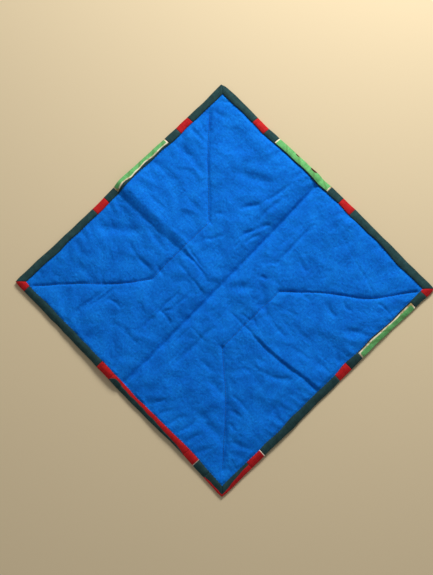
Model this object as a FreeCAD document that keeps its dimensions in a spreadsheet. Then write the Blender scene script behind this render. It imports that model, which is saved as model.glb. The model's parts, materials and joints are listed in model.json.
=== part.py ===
import FreeCAD, Part
import os

import Sketcher
from FreeCAD import Placement, Rotation, Vector

# A square quilted mat, lying with its plain blue backing up and its patchwork front down.
# Layers from the floor: front patches, wadding, backing. A double-folded binding, pieced from
# bottle green, red and leaf green cloth, wraps the rim and squeezes it, so that the mat's middle
# and the binding are flush above and below. Two lines of quilting go through all the layers.
# Frame: Z up, origin on the floor under the mat's middle, sides along X and Y, millimetres.
# The sides are rear (+Y), right (+X), front (-Y) and left (-X).

doc = FreeCAD.newDocument("quilted_mat")
sizes = doc.addObject("Spreadsheet::Sheet", "Sizes")

driving = {
    "side_length": 380.0,
    # cloth and wadding
    "backing_cloth": 0.5,
    "front_cloth": 0.5,
    "wadding_loft": 4.0,
    "binding_cloth": 0.8,  # two plies of a double-folded strip
    # how far the binding reaches in from the edge, above and below
    "binding_above": 10.5,
    "binding_below": 9.5,
    # the rounding of the binding's outer folds, and the most it may be in cloth thicknesses
    "fold_radius": 1.2,
    "fold_most": 1.5,
    # thread, and the room it has in the dent that it presses into the cloth
    "thread_width": 0.3,
    "thread_room": 0.02,
    # the centre panel of the front, and how far its middle is from the mat's
    "panel_width": 126.0,
    "panel_depth": 104.0,
    "panel_off_x": -7.0,
    "panel_off_y": -5.0,
    # where the quilting starts and stops, measured in from the two nearest edges
    "rear_left_in_x": 17.3,
    "rear_left_in_y": 40.8,
    "front_left_in_x": 21.0,
    "front_left_in_y": 13.9,
    "rear_right_in_x": 13.9,
    "rear_right_in_y": 18.6,
    "front_right_in_x": 23.8,
    "front_right_in_y": 23.8,
    # binding patches whose length along the edge isn't what the others leave
    "rear_start_green": 65.8,
    "rear_red_a": 21.0,
    "rear_gap_a": 18.1,
    "rear_leaf": 92.3,
    "rear_gap_b": 20.8,
    "rear_red_b": 20.5,
    "left_start_green": 63.8,
    "left_red_a": 21.3,
    "left_gap_a": 20.5,
    "left_leaf": 95.3,
    "left_gap_b": 18.5,
    "left_red_b": 21.1,
    "right_corner_red": 15.0,
    "right_gap_a": 18.4,
    "right_leaf": 94.0,
    "right_gap_b": 20.3,
    "right_red": 21.0,
    "right_end_red": 22.8,
    "right_end_green": 52.2,
    "front_corner_red": 17.8,
    "front_red_start": 22.3,
    "front_red_strip": 133.5,
    "front_red_stop": 18.1,
    "front_end_green": 52.7,
    "front_end_edging": 33.7,
    # how far in from the edge two cloths meet where a patch is pieced lengthwise
    "left_split": 8.0,
    "front_split": 5.5,
    "right_split": 4.3,
    "front_end_split": 2.5,
    # how far a cutting block runs past what it cuts
    "overrun": 2.0,
}

derived = {
    "height": "=front_cloth + wadding_loft + backing_cloth",
    "half_side": "=side_length / 2",
    "half_height": "=height / 2",
    "rim_size": "=side_length - 2 * binding_cloth",
    "rim_height": "=height - 2 * binding_cloth",
    "above_opening": "=side_length - 2 * binding_above",
    "below_opening": "=side_length - 2 * binding_below",
    "thread_depth": "=thread_width / 2",
    "dent_radius": "=thread_width / 2 + thread_room",
    "fold": "=min(fold_radius; fold_most * binding_cloth)",
}

for row, (alias, value) in enumerate(list(driving.items()) + list(derived.items()), start=1):
    sizes.set(f"A{row}", alias)
    sizes.set(f"B{row}", str(value))
    sizes.setAlias(f"B{row}", alias)
doc.recompute()


def cell(expression):
    """An expression of plain alias names, as the document's other objects have to write it."""
    words, word = [], ""
    for letter in expression + " ":
        if letter.isalnum() or letter == "_":
            word += letter
            continue
        known = word in driving or word in derived
        words.append(f"Sizes.{word}" if known else word)
        words.append(letter)
        word = ""
    return "".join(words).strip()


def origin_plane(body, role):
    for plane in body.Origin.OriginFeatures:
        if plane.Role == role:
            return plane
    raise ValueError(role)


def sketch_on_floor(body, name, height="0"):
    """A sketch parallel to the floor, at a height given by an expression."""
    sketch = body.newObject("Sketcher::SketchObject", name)
    sketch.AttachmentSupport = (origin_plane(body, "XY_Plane"), [""])
    sketch.MapMode = "FlatFace"
    sketch.setExpression("AttachmentOffset.Base.z", cell(height))
    return sketch


def draw_square(sketch, width):
    """A square centred on the origin. width is an expression."""
    corners = [Vector(-1, -1, 0), Vector(1, -1, 0), Vector(1, 1, 0), Vector(-1, 1, 0)]
    for start, end in zip(corners, corners[1:] + corners[:1]):
        sketch.addGeometry(Part.LineSegment(start, end), False)
    for line in range(4):
        sketch.addConstraint(Sketcher.Constraint("Coincident", line, 2, (line + 1) % 4, 1))
    for line in (0, 2):
        sketch.addConstraint(Sketcher.Constraint("Horizontal", line))
    for line in (1, 3):
        sketch.addConstraint(Sketcher.Constraint("Vertical", line))
    sketch.addConstraint(Sketcher.Constraint("Symmetric", 0, 1, 1, 2, -1, 1))
    sketch.addConstraint(Sketcher.Constraint("Equal", 0, 1))
    size = sketch.addConstraint(Sketcher.Constraint("Distance", 0, 2.0))
    sketch.renameConstraint(size, "width")
    sketch.setExpression("Constraints.width", cell(width))


def draw_points(sketch, points, closed):
    """Straight lines from point to point. Each point is a pair of expressions."""
    places = [Vector(10 * i + 1, 7 * i * i + 1, 0) for i in range(len(points))]
    ends = places[1:] + (places[:1] if closed else [])
    for start, end in zip(places, ends):
        sketch.addGeometry(Part.LineSegment(start, end), False)
    lines = len(ends)
    for line in range(lines - (0 if closed else 1)):
        sketch.addConstraint(Sketcher.Constraint("Coincident", line, 2, (line + 1) % lines, 1))
    for number, (x, y) in enumerate(points):
        line, end = (number, 1) if number < lines else (number - 1, 2)
        for axis, value in (("X", x), ("Y", y)):
            made = sketch.addConstraint(
                Sketcher.Constraint(f"Distance{axis}", -1, 1, line, end, 1.0)
            )
            sketch.renameConstraint(made, f"p{number}_{axis}")
            sketch.setExpression(f"Constraints.p{number}_{axis}", cell(value))


def pad(body, sketch, name, length):
    feature = body.newObject("PartDesign::Pad", name)
    feature.Profile = sketch
    feature.setExpression("Length", cell(length))
    return feature


def pocket_up(body, sketch, name, length):
    """Cuts from the sketch's plane upwards."""
    feature = body.newObject("PartDesign::Pocket", name)
    feature.Profile = sketch
    feature.Reversed = True
    feature.setExpression("Length", cell(length))
    return feature


def square_slab(name, layers):
    """A body padded and pocketed from squares. Each layer is (what, width, from height, length)."""
    body = doc.addObject("PartDesign::Body", name)
    for number, (what, width, height, length) in enumerate(layers):
        sketch = sketch_on_floor(body, f"{name}_sketch_{number}", height)
        draw_square(sketch, width)
        make = pad if what == "pad" else pocket_up
        make(body, sketch, f"{name}_{what}_{number}", length)
    return body


def prism(name, points):
    """A block with the plan given by pairs of expressions, taller than the mat at both faces."""
    body = doc.addObject("PartDesign::Body", name)
    sketch = sketch_on_floor(body, f"{name}_sketch", "-overrun")
    draw_points(sketch, points, closed=True)
    pad(body, sketch, f"{name}_pad", "height + 2 * overrun")
    return body


def block(name, x, y, z, length, width, tall):
    box = doc.addObject("Part::Box", name)
    for axis, value in zip("xyz", (x, y, z)):
        box.setExpression(f"Placement.Base.{axis}", cell(value))
    for side, value in zip(("Length", "Width", "Height"), (length, width, tall)):
        box.setExpression(side, cell(value))
    return box


def boolean(kind, name, base, tool):
    made = doc.addObject(f"Part::{kind}", name)
    made.Base = base
    made.Tool = tool
    return made


parts = []


def keep(made, label):
    """Names a finished sub-part and lists it for the export."""
    made.Label = label
    parts.append(made)
    return made


# ---- threads ----


def swept_line(name, points, closed, radius, height):
    """A round bar along straight lines in plan, at one height, with mitred turns."""
    path = doc.addObject("Sketcher::SketchObject", f"{name}_path")
    path.setExpression("Placement.Base.z", cell(height))
    draw_points(path, points, closed)
    ring = doc.addObject("Part::Circle", f"{name}_section")
    ring.setExpression("Radius", cell(radius))
    x, y = points[0]
    ring.setExpression("Placement.Base.x", cell(x))
    ring.setExpression("Placement.Base.y", cell(y))
    ring.setExpression("Placement.Base.z", cell(height))
    doc.recompute()
    # the section stands across the path's first run
    first = path.Shape.Edges[0]
    ends = [v.Point for v in first.Vertexes]
    start = Vector(ring.Placement.Base)
    run = max(ends, key=lambda p: p.sub(start).Length).sub(start)
    ring.Placement = Placement(start, Rotation(Vector(0, 0, 1), run))
    made = doc.addObject("Part::Sweep", name)
    made.Sections = [ring]
    made.Spine = (path, [f"Edge{i + 1}" for i in range(len(path.Shape.Edges))])
    made.Solid = True
    made.Transition = "Right corner"
    return made


# The quilting runs from a rear corner to the centre panel, down its side and out to a front corner.
left_line = [
    ("-half_side + rear_left_in_x", "half_side - rear_left_in_y"),
    ("panel_off_x - panel_width / 2", "panel_off_y + panel_depth / 2"),
    ("panel_off_x - panel_width / 2", "panel_off_y - panel_depth / 2"),
    ("-half_side + front_left_in_x", "-half_side + front_left_in_y"),
]
right_line = [
    ("half_side - rear_right_in_x", "half_side - rear_right_in_y"),
    ("panel_off_x + panel_width / 2", "panel_off_y + panel_depth / 2"),
    ("panel_off_x + panel_width / 2", "panel_off_y - panel_depth / 2"),
    ("half_side - front_right_in_x", "-half_side + front_right_in_y"),
]


def loop_at(inset):
    """A square loop whose corners are inset from the mat's."""
    low, high = f"-half_side + {inset}", f"half_side - {inset}"
    return [(low, low), (high, low), (high, high), (low, high)]


above, below = "height - thread_depth", "thread_depth"
thread_runs = {
    "bobbin_thread_left": (left_line, False, above),
    "bobbin_thread_right": (right_line, False, above),
    "binding_hem_thread": (loop_at("binding_above"), True, above),
    "needle_thread_left": (left_line, False, below),
    "needle_thread_right": (right_line, False, below),
    "binding_seam_thread": (loop_at("binding_below"), True, below),
}
dents = {}
for name, (points, closed, height) in thread_runs.items():
    keep(swept_line(name, points, closed, "thread_depth", height), name)
    dents[name] = swept_line(f"{name}_dent", points, closed, "dent_radius", height)


def dented(name, base, runs):
    """base, less the dents that these threads press into it."""
    tools = doc.addObject("Part::Compound", f"{name}_dents")
    tools.Links = [dents[run] for run in runs]
    return boolean("Cut", name, base, tools)


# ---- layers ----

# A sheet is one thickness lower at its rim than in the middle, with an upright step between.
backing_flat = square_slab(
    "backing_flat",
    [
        ("pad", "rim_size", "height - binding_cloth - backing_cloth", "backing_cloth"),
        (
            "pad",
            "above_opening",
            "height - binding_cloth - backing_cloth",
            "binding_cloth + backing_cloth",
        ),
        (
            "pocket",
            "above_opening - 2 * backing_cloth",
            "height - binding_cloth - backing_cloth",
            "binding_cloth",
        ),
    ],
)
backing = dented(
    "backing_dented",
    backing_flat,
    ["bobbin_thread_left", "bobbin_thread_right", "binding_hem_thread"],
)
keep(backing, "backing_cloth")

wadding = square_slab(
    "wadding_body",
    [
        ("pad", "below_opening - 2 * front_cloth", "front_cloth", "half_height - front_cloth"),
        (
            "pad",
            "above_opening - 2 * backing_cloth",
            "half_height",
            "half_height - backing_cloth",
        ),
        (
            "pad",
            "rim_size",
            "binding_cloth + front_cloth",
            "rim_height - front_cloth - backing_cloth",
        ),
    ],
)
keep(wadding, "wadding")

front_sheet = square_slab(
    "front_sheet",
    [
        ("pad", "rim_size", "binding_cloth", "front_cloth"),
        ("pad", "below_opening", "0", "binding_cloth + front_cloth"),
        ("pocket", "below_opening - 2 * front_cloth", "front_cloth", "binding_cloth"),
    ],
)
needle_runs = ["needle_thread_left", "needle_thread_right", "binding_seam_thread"]


def front_patch(label, plan):
    """One cloth of the front, cut from the sheet to a plan of points."""
    patch = boolean("Common", f"{label}_cut", front_sheet, prism(f"{label}_plan", plan))
    keep(dented(f"{label}_dented", patch, needle_runs), label)


# The front: a centre panel in four borders. The seams between the borders lie under the quilting
# and run on past where it stops, to beyond the mat's edge.
panel = [left_line[2], right_line[2], right_line[1], left_line[1]]
line_ends = [left_line[3], right_line[3], right_line[0], left_line[0]]
seam_ends = [
    tuple(f"2 * ({end}) - ({start})" for start, end in zip(corner, stop))
    for corner, stop in zip(panel, line_ends)
]
front_patch("front_centre_panel", panel)
for number, side in enumerate(("front", "right", "rear", "left")):
    after = (number + 1) % 4
    plan = [seam_ends[number], seam_ends[after], panel[after], panel[number]]
    front_patch(f"front_border_{side}", plan)

# ---- binding ----

# The whole binding as one hoop: a C in section, open inwards where the rim goes in.
hoop_body = square_slab(
    "hoop",
    [
        ("pad", "side_length", "0", "height"),
        ("pocket", "below_opening", "0", "binding_cloth"),
        ("pocket", "rim_size", "binding_cloth", "rim_height"),
        ("pocket", "above_opening", "height - binding_cloth", "binding_cloth"),
    ],
)
doc.recompute()


def outer_fold_edges(shape):
    """The edges where the hoop's outer walls meet its upper and lower faces."""
    box = shape.BoundBox
    names = []
    for number, edge in enumerate(shape.Edges, start=1):
        middle = edge.CenterOfMass
        outside = max(abs(middle.x), abs(middle.y)) > box.XMax - 0.01
        level = edge.BoundBox.ZLength < 0.01
        at_face = min(middle.z - box.ZMin, box.ZMax - middle.z) < 0.01
        if outside and level and at_face:
            names.append(f"Edge{number}")
    return names


sharp_hoop = hoop_body.Tip
fold = hoop_body.newObject("PartDesign::Fillet", "hoop_fold")
fold.Base = (sharp_hoop, outer_fold_edges(sharp_hoop.Shape))
fold.setExpression("Radius", cell("fold"))
hoop = dented("hoop_dented", hoop_body, ["binding_hem_thread", "binding_seam_thread"])

# Each side runs between two mitres. Its patches are laid out by along, the distance from the
# side's start corner, and by inset, the distance in from the edge.
far = "side_length"
side_wedges = {
    "rear": [("0", "0"), (far, far), (f"-{far}", far)],
    "right": [("0", "0"), (far, f"-{far}"), (far, far)],
    "front": [("0", "0"), (f"-{far}", f"-{far}"), (far, f"-{far}")],
    "left": [("0", "0"), (f"-{far}", far), (f"-{far}", f"-{far}")],
}
side_hoops = {
    side: boolean("Common", f"hoop_{side}", hoop, prism(f"wedge_{side}", points))
    for side, points in side_wedges.items()
}


def side_block(name, side, start, stop, inset_from, inset_to, low, high):
    """A block over part of a side. rear and front start at the left, left and right at the rear."""
    length, deep, tall = f"{stop} - ({start})", f"{inset_to} - ({inset_from})", f"{high} - ({low})"
    if side in ("rear", "front"):
        x = f"-half_side + {start}"
        y = f"half_side - ({inset_to})" if side == "rear" else f"-half_side + {inset_from}"
        return block(name, x, y, low, length, deep, tall)
    x = f"half_side - ({inset_to})" if side == "right" else f"-half_side + {inset_from}"
    return block(name, x, f"half_side - ({stop})", low, deep, length, tall)


deepest = "max(binding_above; binding_below) + overrun"
top, bottom = "height + overrun", "-overrun"


def stretch(name, side, start, stop):
    """The binding of one side between two seams."""
    tool = side_block(f"{name}_block", side, start, stop, "-overrun", deepest, bottom, top)
    return boolean("Common", f"{name}_all", side_hoops[side], tool)


def inner_strip(name, side, start, stop, split):
    """The part of the upper turn-over that lies further in than the lengthwise seam."""
    return side_block(f"{name}_strip", side, start, stop, split, deepest, "half_height", top)


def total(*lengths):
    return " + ".join(lengths)


side_start, side_stop = "-overrun", "side_length + overrun"


def run_of_patches(side, first, patches, start, last=None):
    """Whole patches one after another, from start. Each is (colour, length)."""
    seams = [first]
    for _, length in patches:
        seams.append(total(seams[-1], length))
    if last:
        seams[-1] = last
    for number, (colour, _) in enumerate(patches):
        name = f"binding_{side}_{start + number}_{colour}"
        low = side_start if seams[number] == "0" else seams[number]
        keep(stretch(name, side, low, seams[number + 1]), name)


# rear: the last green takes what the others leave
run_of_patches(
    "rear",
    "0",
    [
        ("bottle_green", "rear_start_green"),
        ("red", "rear_red_a"),
        ("bottle_green", "rear_gap_a"),
        ("leaf_green", "rear_leaf"),
        ("bottle_green", "rear_gap_b"),
        ("red", "rear_red_b"),
        ("bottle_green", "side_length"),
    ],
    start=1,
    last=side_stop,
)

# left: as the rear, with the leaf green pieced lengthwise to a narrow green
run_of_patches(
    "left",
    "0",
    [
        ("bottle_green", "left_start_green"),
        ("red", "left_red_a"),
        ("bottle_green", "left_gap_a"),
    ],
    start=1,
)
leaf_start = total("left_start_green", "left_red_a", "left_gap_a")
leaf_stop = total(leaf_start, "left_leaf")
left_sliver = inner_strip("left_sliver", "left", leaf_start, leaf_stop, "left_split")
left_leaf = stretch("left_leaf", "left", leaf_start, leaf_stop)
keep(boolean("Cut", "left_leaf_cut", left_leaf, left_sliver), "binding_left_4_leaf_green")
keep(
    boolean("Common", "left_sliver_cut", side_hoops["left"], left_sliver),
    "binding_left_5_bottle_green",
)
run_of_patches(
    "left",
    leaf_stop,
    [
        ("bottle_green", "left_gap_b"),
        ("red", "left_red_b"),
        ("bottle_green", "side_length"),
    ],
    start=6,
    last=side_stop,
)

# right: the long green between the two reds takes what the others leave
run_of_patches(
    "right",
    "0",
    [
        ("red", "right_corner_red"),
        ("bottle_green", "right_gap_a"),
        ("leaf_green", "right_leaf"),
        ("bottle_green", "right_gap_b"),
        ("red", "right_red"),
        ("bottle_green", "side_length"),
    ],
    start=1,
    last="side_length - right_end_red - right_end_green",
)
edging_start = "side_length - right_end_green"
right_inner = inner_strip("right_inner", "right", edging_start, side_stop, "right_split")
right_end = stretch("right_end", "right", f"{edging_start} - right_end_red", side_stop)
keep(boolean("Cut", "right_end_cut", right_end, right_inner), "binding_right_7_red")
keep(
    boolean("Common", "right_inner_cut", side_hoops["right"], right_inner),
    "binding_right_8_bottle_green",
)

# front: a green that takes what the others leave, then a red whose middle is pieced lengthwise
red_stop = "side_length - front_end_green"
strip_stop = f"{red_stop} - front_red_stop"
strip_start = f"{strip_stop} - front_red_strip"
red_start = f"{strip_start} - front_red_start"
run_of_patches(
    "front",
    "0",
    [("red", "front_corner_red"), ("bottle_green", "side_length")],
    start=1,
    last=red_start,
)
front_inner = inner_strip("front_inner", "front", strip_start, strip_stop, "front_split")
front_strip = stretch("front_strip", "front", strip_start, strip_stop)
front_outer = boolean("Cut", "front_outer_cut", front_strip, front_inner)
front_red = stretch("front_red", "front", red_start, red_stop)
keep(boolean("Cut", "front_red_cut", front_red, front_outer), "binding_front_3_red")
keep(front_outer, "binding_front_4_bottle_green")

edging_start = "side_length - front_end_edging"
edging_inner = inner_strip("edging_inner", "front", edging_start, side_stop, "front_end_split")
edging_all = stretch("edging", "front", edging_start, side_stop)
front_edging = boolean("Cut", "front_edging_cut", edging_all, edging_inner)
front_end = stretch("front_end", "front", red_stop, side_stop)
keep(boolean("Cut", "front_end_cut", front_end, front_edging), "binding_front_5_bottle_green")
keep(front_edging, "binding_front_6_red")

# ---- checks and export ----

doc.recompute()
failed = [o.Name for o in doc.Objects if "Invalid" in o.State or "Error" in o.State]
if failed:
    raise RuntimeError(f"these objects failed: {failed}")

os.makedirs("parts", exist_ok=True)
for made in parts:
    shape = made.Shape
    if shape.isNull() or not shape.isValid() or not shape.Solids or shape.Volume <= 0:
        raise RuntimeError(f"{made.Label} has no sound solid")
    shape.exportStep(os.path.join("parts", f"{made.Label}.step"))
    print(f"{made.Label}: {len(shape.Solids)} solid, {shape.Volume:.1f} mm3")
print(f"{len(parts)} sub-parts")
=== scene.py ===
import bpy, bmesh
import json, math
import numpy as np
from mathutils import Matrix, Vector
from mathutils.bvhtree import BVHTree


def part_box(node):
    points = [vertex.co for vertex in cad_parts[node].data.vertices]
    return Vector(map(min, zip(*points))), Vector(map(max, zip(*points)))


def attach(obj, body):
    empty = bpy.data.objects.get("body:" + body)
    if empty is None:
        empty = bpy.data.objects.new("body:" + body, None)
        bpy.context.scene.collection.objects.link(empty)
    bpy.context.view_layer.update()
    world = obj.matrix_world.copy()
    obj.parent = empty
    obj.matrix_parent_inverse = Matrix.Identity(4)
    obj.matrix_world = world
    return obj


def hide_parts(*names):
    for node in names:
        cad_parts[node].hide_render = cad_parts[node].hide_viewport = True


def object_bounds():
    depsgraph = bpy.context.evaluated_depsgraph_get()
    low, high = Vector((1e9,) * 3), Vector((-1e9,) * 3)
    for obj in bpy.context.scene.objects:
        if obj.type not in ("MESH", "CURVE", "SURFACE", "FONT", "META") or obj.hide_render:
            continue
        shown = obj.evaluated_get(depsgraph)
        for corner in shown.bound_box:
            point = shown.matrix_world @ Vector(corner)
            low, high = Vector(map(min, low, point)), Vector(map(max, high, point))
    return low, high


# A quilted mat, lying blue side up after being stored folded in four. Shapes are worked out in
# millimetres on the flat mat, then warped, lifted off the floor and turned to metres together,
# so that the cloths, wadding, binding and stitches stay with each other.

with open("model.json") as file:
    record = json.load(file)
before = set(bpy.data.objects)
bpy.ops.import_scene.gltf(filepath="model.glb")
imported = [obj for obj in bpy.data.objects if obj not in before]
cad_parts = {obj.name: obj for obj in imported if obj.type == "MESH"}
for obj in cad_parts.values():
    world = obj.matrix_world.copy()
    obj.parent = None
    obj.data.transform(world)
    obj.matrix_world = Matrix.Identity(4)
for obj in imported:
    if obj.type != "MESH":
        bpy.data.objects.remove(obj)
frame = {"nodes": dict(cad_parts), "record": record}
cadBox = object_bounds()
mm = 0.001
halfSide = (cadBox[1].x - cadBox[0].x) / 2 / mm
matHeight = (cadBox[1].z - cadBox[0].z) / mm
slotOf = {row["node"]: row["material_slot"] for row in frame["record"]["subparts"]}


def cadBoxOf(node):
    low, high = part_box(node)
    return np.array(low) / mm, np.array(high) / mm


# half widths of the cloths' rim and of the two loops of thread that the binding is sewn with
rimHalf = cadBoxOf("backing_cloth")[1][0]
hemHalf = cadBoxOf("binding_hem_thread")[1][0]
seamHalf = cadBoxOf("binding_seam_thread")[1][0]
panelLow, panelHigh = cadBoxOf("front_centre_panel")
bindingAbove = halfSide - hemHalf
bindingBelow = halfSide - seamHalf


def threadEnds(node):
    # the rear and front ends of a line of quilting, from its solid
    endMm = 0.4
    points = np.array([v.co[:] for v in frame["nodes"][node].data.vertices]) / mm
    rear = points[points[:, 1] > points[:, 1].max() - endMm].mean(axis=0)
    front = points[points[:, 1] < points[:, 1].min() + endMm].mean(axis=0)
    return rear[:2], front[:2]


def quiltLine(node, sideX):
    rear, front = threadEnds(node)
    return np.array([rear, (sideX, panelHigh[1]), (sideX, panelLow[1]), front])


quiltLines = {
    "left": quiltLine("bobbin_thread_left", panelLow[0]),
    "right": quiltLine("bobbin_thread_right", panelHigh[0]),
}
print("frame read")


def hexColour(text):
    # an sRGB hex colour as the linear one that a shader takes
    parts = [int(text[i : i + 2], 16) / 255 for i in (0, 2, 4)]
    linear = [c / 12.92 if c <= 0.04045 else ((c + 0.055) / 1.055) ** 2.4 for c in parts]
    return (*linear, 1.0)


def greyColour(value):
    return (value, value, value, 1)


def addNode(tree, kind, settings):
    # A setting is one of the node's own properties or inputs, and an input's value may be another
    # node's output. "stops" are the places and colours of a ramp, whose first two it already has.
    made = tree.nodes.new("ShaderNode" + kind)
    for name, value in settings.items():
        if name == "stops":
            points = made.color_ramp.elements
            for number, (position, colour) in enumerate(value):
                point = points[number] if number < 2 else points.new(position)
                point.position, point.color = position, colour
        elif not isinstance(name, int) and name not in made.inputs:
            setattr(made, name, value)
        elif hasattr(value, "links"):
            tree.links.new(value, made.inputs[name])
        else:
            made.inputs[name].default_value = value
    return made


# settings that many nodes share; a colour mix has its share at 0, its colours at 6 and 7 and its
# result at output 2
colourMix = {"data_type": "RGBA", "blend_type": "MIX"}
multiplied = {"data_type": "RGBA", "blend_type": "MULTIPLY"}


def newMaterial(name):
    made = bpy.data.materials.new(name)
    made.use_nodes = True
    made.node_tree.nodes.clear()
    return made, made.node_tree


def wavesEvery(spacingMm, direction):
    # A wave texture runs 20 radians for each unit along X or Y, and 10 for each on the diagonal.
    radians = 10 if direction == "DIAGONAL" else 20
    return {"bands_direction": direction, "Scale": 2 * math.pi / radians / (spacingMm * mm)}


def plainWeave(tree, threadMm):
    # Over and under threads on the cloth's own flat coordinates, which every cloth piece carries
    # as the attribute "cloth". Gives the height of the weave and the streaks of uneven yarn.
    flat = addNode(tree, "Attribute", {"attribute_name": "cloth"}).outputs["Vector"]
    uneven = {"Distortion": 0.5, "Detail": 0.0, "Vector": flat}
    warp = addNode(tree, "TexWave", {**wavesEvery(threadMm, "X"), **uneven})
    weft = addNode(tree, "TexWave", {**wavesEvery(threadMm, "Y"), **uneven})
    over = addNode(tree, "TexChecker", {
        "Scale": 1 / (threadMm * mm), "Color1": greyColour(1), "Color2": greyColour(0), "Vector": flat,
    })
    weave = addNode(tree, "Mix", {
        **colourMix, 0: over.outputs["Fac"], 6: warp.outputs["Fac"], 7: weft.outputs["Fac"],
    }).outputs[2]
    # slubs along each yarn, about 17 times as long as they are wide
    streaks = []
    for stretch in ((1.0, 0.06, 1.0), (0.06, 1.0, 1.0)):
        along = addNode(tree, "Mapping", {"Scale": stretch, "Vector": flat})
        yarn = addNode(tree, "TexNoise", {
            "Scale": 0.9 / (threadMm * mm), "Detail": 2.0, "Roughness": 0.6,
            "Vector": along.outputs["Vector"],
        })
        streaks.append(yarn.outputs["Fac"])
    slubs = addNode(tree, "Math", {"operation": "ADD", 0: streaks[0], 1: streaks[1]})
    return flat, weave, slubs.outputs[0]


def finishCloth(tree, colour, height, look):
    # look: roughness, sheen and bump depth of the cloth's surface
    bump = addNode(tree, "Bump", {"Strength": 1.0, "Distance": look["bumpMm"] * mm, "Height": height})
    shader = addNode(tree, "BsdfPrincipled", {
        "Base Color": colour,
        "Roughness": look["roughness"],
        "IOR": look["ior"],
        "Specular IOR Level": look["specular"],
        "Sheen Weight": look["sheen"],
        "Sheen Roughness": 0.5,
        "Sheen Tint": hexColour(look["sheenHex"]),
        "Normal": bump.outputs["Normal"],
    })
    addNode(tree, "OutputMaterial", {"Surface": shader.outputs["BSDF"]})


blueLook = {
    "hex": "0C71D8",
    "shadeHex": "0A64C8",
    "lightHex": "127EE4",
    "threadMm": 1.1,
    "cloudMm": 26,
    "grainMm": 2.6,
    "grainShare": 4.0,  # of the weave's height
    "crinkleMm": 5,
    "crinkleShare": 7.0,
    "roughness": 0.9,
    "ior": 1.5,
    "specular": 0.06,
    "sheen": 0.0,
    "sheenHex": "4FA4FF",
    "bumpMm": 0.16,
}


def washedBlueCotton():
    # Plain-weave cotton, dyed and often washed: dull, with a short brushed nap that clouds the
    # colour in patches. Its threads are about 0.4 mm apart, drawn 1.1 mm apart so that they show.
    made, tree = newMaterial("washed blue cotton")
    flat, weave, slubs = plainWeave(tree, blueLook["threadMm"])
    nap = addNode(tree, "TexNoise", {
        "Scale": 1 / (blueLook["cloudMm"] * mm), "Detail": 6.0, "Roughness": 0.62, "Vector": flat,
    })
    grain = addNode(tree, "TexNoise", {
        "Scale": 1 / (blueLook["grainMm"] * mm), "Detail": 4.0, "Roughness": 0.75, "Vector": flat,
    })
    crinkle = addNode(tree, "TexNoise", {
        "Scale": 1 / (blueLook["crinkleMm"] * mm), "Detail": 4.0, "Roughness": 0.6, "Distortion": 0.6,
        "Vector": flat,
    })
    clouds = addNode(tree, "ValToRGB", {0: nap.outputs["Fac"], "stops": [
        (0.3, hexColour(blueLook["shadeHex"])),
        (0.72, hexColour(blueLook["lightHex"])),
        (0.5, hexColour(blueLook["hex"])),
    ]})
    yarns = addNode(tree, "ValToRGB", {
        0: slubs, "stops": [(0.75, greyColour(0.82)), (1.2, greyColour(1.12))],
    })
    # painted shade: the low places of the weave, between the threads, are coloured darker, as shade would
    # fall in them
    gapShade = addNode(tree, "ValToRGB", {
        0: weave, "stops": [(0.0, (0.72, 0.74, 0.8, 1)), (0.55, greyColour(1))],
    })
    speckle = addNode(tree, "ValToRGB", {
        0: grain.outputs["Fac"], "stops": [(0.34, (0.7, 0.66, 0.84, 1)), (0.66, (1.3, 1.34, 1.16, 1))],
    })
    woven = clouds.outputs["Color"]
    for share, layer in ((0.55, yarns), (0.45, gapShade), (0.75, speckle)):
        woven = addNode(tree, "Mix", {
            **multiplied, 0: share, 6: woven, 7: layer.outputs["Color"],
        }).outputs[2]
    height = weave
    for share, layer in ((blueLook["grainShare"], grain), (blueLook["crinkleShare"], crinkle)):
        height = addNode(tree, "Math", {
            "operation": "MULTIPLY_ADD", 0: layer.outputs["Fac"], 1: share, 2: height,
        }).outputs[0]
    finishCloth(tree, woven, height, blueLook)
    return made


bindingLook = {
    "threadMm": 1.0,
    "wornMm": 6,
    "roughness": 0.85,
    "ior": 1.5,
    "specular": 0.15,
    "sheen": 0.05,
    "sheenHex": "9FB5AA",
    "bumpMm": 0.14,
}


def plainCotton(name, midHex, shadeHex, lightHex):
    # A firm plain-weave quilting cotton: matt, with single threads a shade lighter or darker. Its
    # threads are about 0.4 mm apart, drawn 1 mm apart so that they show.
    made, tree = newMaterial(name)
    flat, weave, slubs = plainWeave(tree, bindingLook["threadMm"])
    worn = addNode(tree, "TexNoise", {
        "Scale": 1 / (bindingLook["wornMm"] * mm), "Detail": 4.0, "Roughness": 0.65, "Vector": flat,
    })
    base = addNode(tree, "ValToRGB", {0: worn.outputs["Fac"], "stops": [
        (0.32, hexColour(shadeHex)),
        (0.7, hexColour(lightHex)),
        (0.5, hexColour(midHex)),
    ]})
    yarns = addNode(tree, "ValToRGB", {
        0: slubs, "stops": [(0.75, greyColour(0.75)), (1.2, greyColour(1.2))],
    })
    # painted shade: the low places of the weave, between the threads, are coloured darker, as shade would
    # fall in them
    gapShade = addNode(tree, "ValToRGB", {
        0: weave, "stops": [(0.0, greyColour(0.6)), (0.6, greyColour(1))],
    })
    woven = base.outputs["Color"]
    for share, layer in ((0.7, yarns), (0.5, gapShade)):
        woven = addNode(tree, "Mix", {
            **multiplied, 0: share, 6: woven, 7: layer.outputs["Color"],
        }).outputs[2]
    return made, tree, flat, weave, woven


def bottleGreenCotton():
    # dyed through and never printed: dark, matt and even
    made, tree, flat, weave, woven = plainCotton("bottle green cotton", "213F40", "1C3738", "29494A")
    finishCloth(tree, woven, weave, bindingLook)
    return made


leafPrint = {"outlineMm": 1.9, "wobbleMm": 0.8, "lightHex": "E9DDBE", "darkHex": "A08A5A"}
redPrint = {"outlineMm": 0.9, "wobbleMm": 0.2, "lightHex": "E4DACA", "darkHex": "CDBBA4"}
outlineDetail = {"blurMm": 0.25, "shakeEveryMm": 3.5, "stainMm": 8}


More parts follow.
